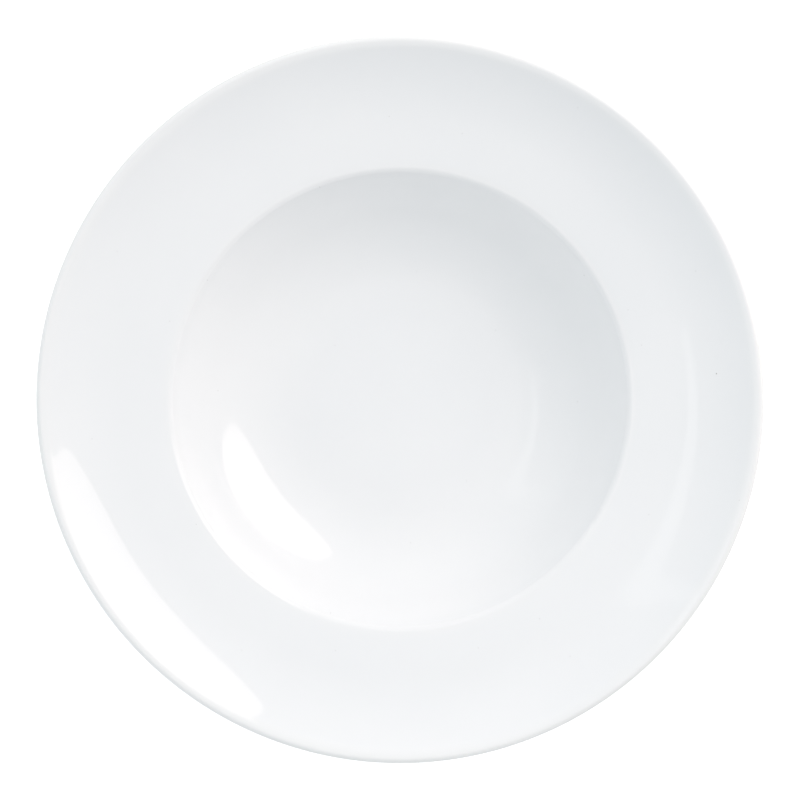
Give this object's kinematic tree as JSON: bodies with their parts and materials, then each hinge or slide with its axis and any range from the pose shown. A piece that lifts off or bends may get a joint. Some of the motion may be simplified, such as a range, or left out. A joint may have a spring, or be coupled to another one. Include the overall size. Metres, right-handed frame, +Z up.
{
  "type": "pasta plate",
  "caption": "Round white glazed porcelain pasta plate: deep curved well with a flat floor, wide rim turned up to a rounded lip, low bare foot ring. Holds pasta, soup or salad.",
  "frame": {"origin": "on the plate's axis, in the plane of the foot ring's bearing face", "axes": "+Z up along the plate's axis of revolution, out of the well; +X and +Y lie in the table plane, and the plate is alike all round"},
  "size_m": [0.3, 0.3, 0.061],
  "materials": {
    "bare_porcelain": "matte",
    "white_glaze": "gloss"
  },
  "bodies": {
    "root": {"porcelain_body": "bare_porcelain", "glaze_coat": "white_glaze", "base_glaze": "white_glaze"}
  },
  "joints": []
}
